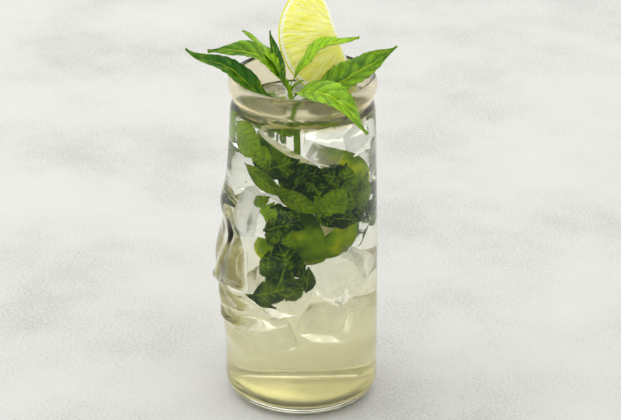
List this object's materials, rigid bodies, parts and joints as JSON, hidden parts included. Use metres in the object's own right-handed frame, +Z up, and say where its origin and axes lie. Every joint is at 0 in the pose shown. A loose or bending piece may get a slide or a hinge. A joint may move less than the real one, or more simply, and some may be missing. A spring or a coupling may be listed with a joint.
{
  "type": "mojito cocktail in a glass",
  "caption": "Tall clear glass with a calm face in relief, filled with a minty lime drink, ice, a lime wedge and a mint sprig.",
  "frame": {"origin": "centre of the glass's flat base, on the glass's axis", "axes": "+Z up; the face in the glass looks along -Y"},
  "size_m": [0.0873, 0.0853, 0.2032],
  "materials": {
    "clear_glass": "clear, smooth",
    "drink": "cloudy pale yellow liquid",
    "ice": "clear ice, wet",
    "lime": "wet lime flesh with a green rind",
    "mint": "satin leaf"
  },
  "bodies": {
    "root": {"glass": "clear_glass", "drink": "drink", "ice_cube_front": "ice", "ice_cube_back": "ice", "ice_cube_side": "ice", "lime_wedge": "lime", "mint_sprig": "mint"}
  },
  "joints": []
}
